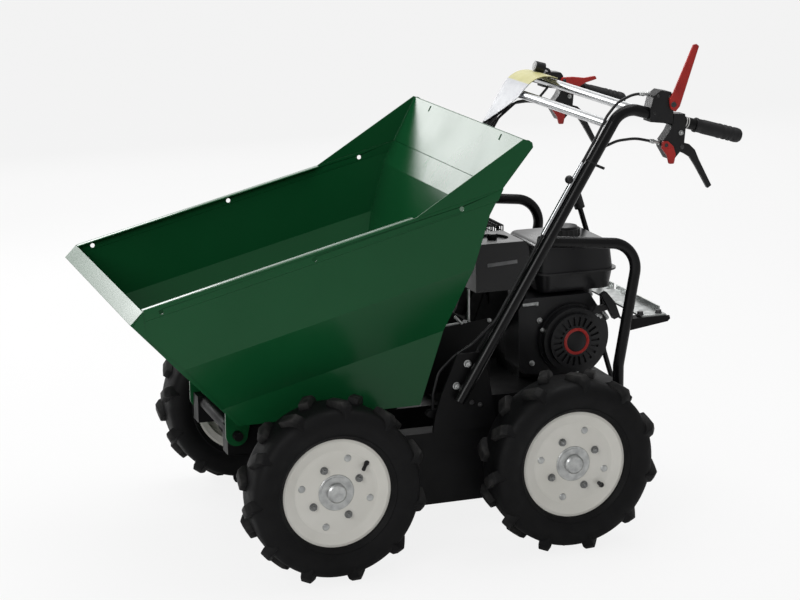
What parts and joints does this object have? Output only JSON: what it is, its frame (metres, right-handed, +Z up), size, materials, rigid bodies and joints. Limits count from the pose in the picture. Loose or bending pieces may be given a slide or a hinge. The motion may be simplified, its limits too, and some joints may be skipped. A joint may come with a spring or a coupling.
{
  "type": "site dumper",
  "caption": "Pedestrian four-wheel site dumper with a front-tipping steel hopper, engine behind it, tubular guards and a handlebar with levers.",
  "frame": {"origin": "on the ground under the middle of the overall length and width", "axes": "+X forward, towards the hopper's pouring lip; +Y to the machine's left; +Z up"},
  "size_m": [1.356, 0.817, 1.06],
  "materials": {
    "hopper_green": "gloss green paint",
    "frame_black": "satin black paint",
    "tyre_black": "black rubber",
    "rim_white": "gloss off-white paint",
    "zinc": "zinc plated steel",
    "grip_rubber": "ribbed black rubber",
    "bar_chrome": "bright chrome",
    "control_black": "matt black moulding",
    "control_red": "red moulding",
    "engine_iron": "black painted casting",
    "engine_black": "gloss black paint",
    "plate_white": "white painted sheet"
  },
  "bodies": {
    "chassis": {"air_cleaner": "engine_black", "belt_guard": "frame_black", "brake_levers": "control_black", "cable_sleeve": "bar_chrome", "chassis_frame": "frame_black", "console_plate": "plate_white", "control_cables": "control_black", "cross_tubes": "bar_chrome", "drive_cases": "frame_black", "engine_block": "engine_iron", "engine_deck": "frame_black", "engine_guards": "frame_black", "engine_switch": "control_black", "fan_shroud": "engine_black", "front_axle": "frame_black", "fuel_cap": "control_black", "fuel_tank": "engine_black", "gate_bracket": "frame_black", "gear_gate": "zinc", "gear_knob": "control_black", "gear_lever": "frame_black", "gearbox": "frame_black", "grips": "grip_rubber", "handle_brackets": "frame_black", "handle_tubes": "frame_black", "latch_knob": "control_black", "lever_clamps": "control_black", "lever_housings": "control_black", "lever_pawls": "control_red", "muffler": "zinc", "muffler_guard": "frame_black", "rear_axle": "frame_black", "recoil_starter": "engine_black", "red_lever_left": "control_red", "red_lever_right": "control_red", "rest_pads": "frame_black", "starter_handle": "control_black", "tip_latch": "frame_black"},
    "hopper": {"front_hems": "hopper_green", "front_lip": "hopper_green", "hopper_back": "hopper_green", "hopper_tub": "hopper_green", "pivot_ears": "hopper_green", "rim_band_left": "hopper_green", "rim_band_right": "hopper_green"},
    "wheel_front_left": {"tyre_front_left": "tyre_black", "rim_front_left": "rim_white", "hub_front_left": "zinc"},
    "wheel_front_right": {"tyre_front_right": "tyre_black", "rim_front_right": "rim_white", "hub_front_right": "zinc"},
    "wheel_rear_left": {"tyre_rear_left": "tyre_black", "rim_rear_left": "rim_white", "hub_rear_left": "zinc"},
    "wheel_rear_right": {"tyre_rear_right": "tyre_black", "rim_rear_right": "rim_white", "hub_rear_right": "zinc"}
  },
  "joints": [
    {"name": "hopper_tip", "type": "hinge", "parent": "chassis", "child": "hopper", "pos_m": [0.422, 0, 0.268], "axis": [0, 1, 0], "range_deg": [0, 80]},
    {"name": "front_left_wheel_spin", "type": "hinge", "parent": "chassis", "child": "wheel_front_left", "pos_m": [0.277, 0.353, 0.195], "axis": [0, 1, 0], "continuous": true},
    {"name": "front_right_wheel_spin", "type": "hinge", "parent": "chassis", "child": "wheel_front_right", "pos_m": [0.277, -0.353, 0.195], "axis": [0, 1, 0], "continuous": true},
    {"name": "rear_left_wheel_spin", "type": "hinge", "parent": "chassis", "child": "wheel_rear_left", "pos_m": [-0.249, 0.353, 0.195], "axis": [0, 1, 0], "continuous": true},
    {"name": "rear_right_wheel_spin", "type": "hinge", "parent": "chassis", "child": "wheel_rear_right", "pos_m": [-0.249, -0.353, 0.195], "axis": [0, 1, 0], "continuous": true}
  ]
}
